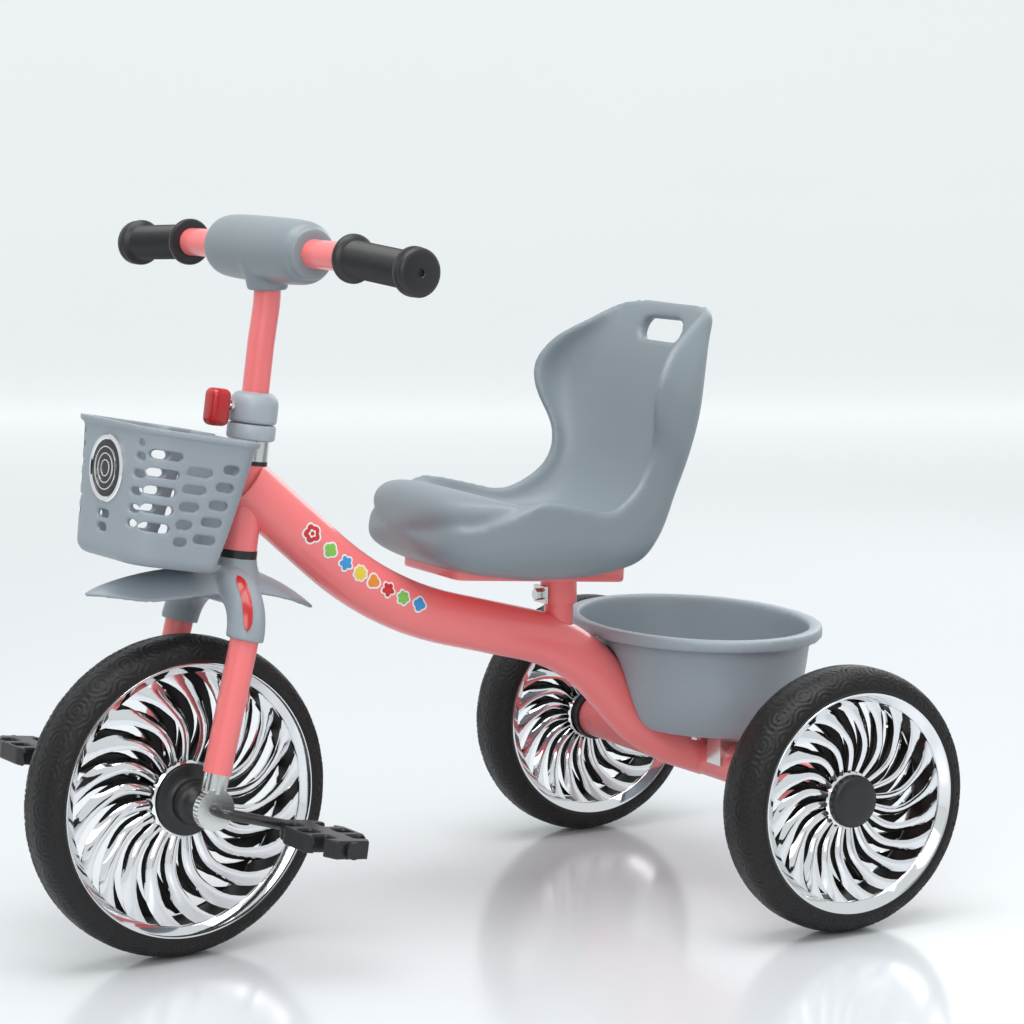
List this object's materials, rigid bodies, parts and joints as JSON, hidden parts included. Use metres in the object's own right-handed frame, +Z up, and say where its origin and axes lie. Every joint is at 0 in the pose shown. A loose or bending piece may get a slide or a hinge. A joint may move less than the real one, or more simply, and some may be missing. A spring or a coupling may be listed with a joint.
{
  "type": "children's tricycle",
  "caption": "Child's pedal tricycle with a steered, pedal-driven front wheel, two rear wheels, a moulded bucket seat, a front basket and a rear storage basin.",
  "frame": {"origin": "bottom centre of the bounding box, on the ground under the middle of the tricycle", "axes": "+X forward along the direction of travel, +Y to the rider's left along the rear axle, +Z up"},
  "size_m": [0.7176, 0.4478, 0.5643],
  "materials": {
    "pink_paint": "glossy powder coat",
    "grey_plastic": "satin moulded plastic",
    "light_grey_plastic": "satin moulded plastic",
    "black_plastic": "matte moulded plastic",
    "grip_rubber": "matte soft moulding",
    "tyre_foam": "matte foamed rubber",
    "chrome_rim": "mirror plated plastic",
    "black_steel": "black coated steel rod",
    "zinc_steel": "bright zinc plating",
    "red_plastic": "glossy moulded plastic",
    "badge": "glossy disc with a pale ring"
  },
  "bodies": {
    "frame": {"main_tube": "pink_paint", "head_tube": "pink_paint", "rear_axle_tube": "pink_paint", "axle_bush_left": "black_plastic", "axle_bush_right": "black_plastic", "rear_axle": "zinc_steel", "seat_post": "pink_paint", "lower_headset_bush": "black_plastic", "upper_headset_bush": "black_plastic", "seat": "grey_plastic", "seat_tray": "pink_paint", "seat_bolts": "zinc_steel", "post_clamp_plate": "zinc_steel", "post_clamp_bolt": "zinc_steel", "rear_basin": "grey_plastic", "basin_brackets": "pink_paint", "basin_screws": "zinc_steel"},
    "steering": {"fork": "pink_paint", "fork_end_left": "zinc_steel", "fork_end_right": "zinc_steel", "front_fender": "grey_plastic", "basket_bracket": "zinc_steel", "front_basket": "grey_plastic", "basket_badge": "badge", "collar_base": "light_grey_plastic", "stem_collar": "light_grey_plastic"},
    "handlebar": {"stem": "pink_paint", "handlebar_tube": "pink_paint", "handlebar_cover_front": "light_grey_plastic", "handlebar_cover_back": "light_grey_plastic", "grip_left": "grip_rubber", "grip_right": "grip_rubber"},
    "clamp_screw": {"clamp_bolt": "zinc_steel", "clamp_knob": "red_plastic"},
    "front_wheel": {"front_wheel_tyre": "tyre_foam", "front_wheel_rim": "chrome_rim", "front_left_disc": "chrome_rim", "front_right_disc": "chrome_rim", "front_left_hub_cone": "black_plastic", "front_right_hub_cone": "black_plastic", "crank": "black_steel", "pedal_cap_left": "black_plastic", "pedal_cap_right": "black_plastic"},
    "left_pedal": {"pedal_left": "black_plastic"},
    "right_pedal": {"pedal_right": "black_plastic"},
    "rear_left_wheel": {"rear_left_tyre": "tyre_foam", "rear_left_rim": "chrome_rim", "rear_left_outer_disc": "chrome_rim", "rear_left_inner_disc": "chrome_rim", "rear_left_hub": "black_plastic", "rear_left_hub_cap": "black_plastic", "rear_left_inner_spacer": "black_plastic"},
    "rear_right_wheel": {"rear_right_tyre": "tyre_foam", "rear_right_rim": "chrome_rim", "rear_right_outer_disc": "chrome_rim", "rear_right_inner_disc": "chrome_rim", "rear_right_hub": "black_plastic", "rear_right_hub_cap": "black_plastic", "rear_right_inner_spacer": "black_plastic"}
  },
  "joints": [
    {"name": "steer", "type": "hinge", "parent": "frame", "child": "steering", "pos_m": [0.18038, 0, 0.3], "axis": [-0.1349, 0, 0.9909], "range_deg": [-51, 39]},
    {"name": "stem_height", "type": "slide", "parent": "steering", "child": "handlebar", "axis": [-0.1349, 0, 0.9909], "range_m": [-0.02, 0.04]},
    {"name": "clamp_turn", "type": "hinge", "parent": "steering", "child": "clamp_screw", "pos_m": [0.16392, 0, 0.42089], "axis": [0.9854, 0.1045, 0.1341], "range_deg": [0, 360]},
    {"name": "front_wheel_spin", "type": "hinge", "parent": "steering", "child": "front_wheel", "pos_m": [0.23391, 0.0031, 0.12498], "axis": [-0.1036, 0.9945, -0.0141], "continuous": true},
    {"name": "left_pedal_spin", "type": "hinge", "parent": "front_wheel", "child": "left_pedal", "pos_m": [0.16358, 0.11515, 0.10551], "axis": [-0.1036, 0.9945, -0.0141], "continuous": true},
    {"name": "right_pedal_spin", "type": "hinge", "parent": "front_wheel", "child": "right_pedal", "pos_m": [0.30425, -0.10896, 0.14445], "axis": [-0.1036, 0.9945, -0.0141], "continuous": true},
    {"name": "rear_left_wheel_spin", "type": "hinge", "parent": "frame", "child": "rear_left_wheel", "pos_m": [-0.25262, 0.1995, 0.1062], "axis": [0, 1, 0], "continuous": true},
    {"name": "rear_right_wheel_spin", "type": "hinge", "parent": "frame", "child": "rear_right_wheel", "pos_m": [-0.25262, -0.1995, 0.1062], "axis": [0, 1, 0], "continuous": true}
  ]
}
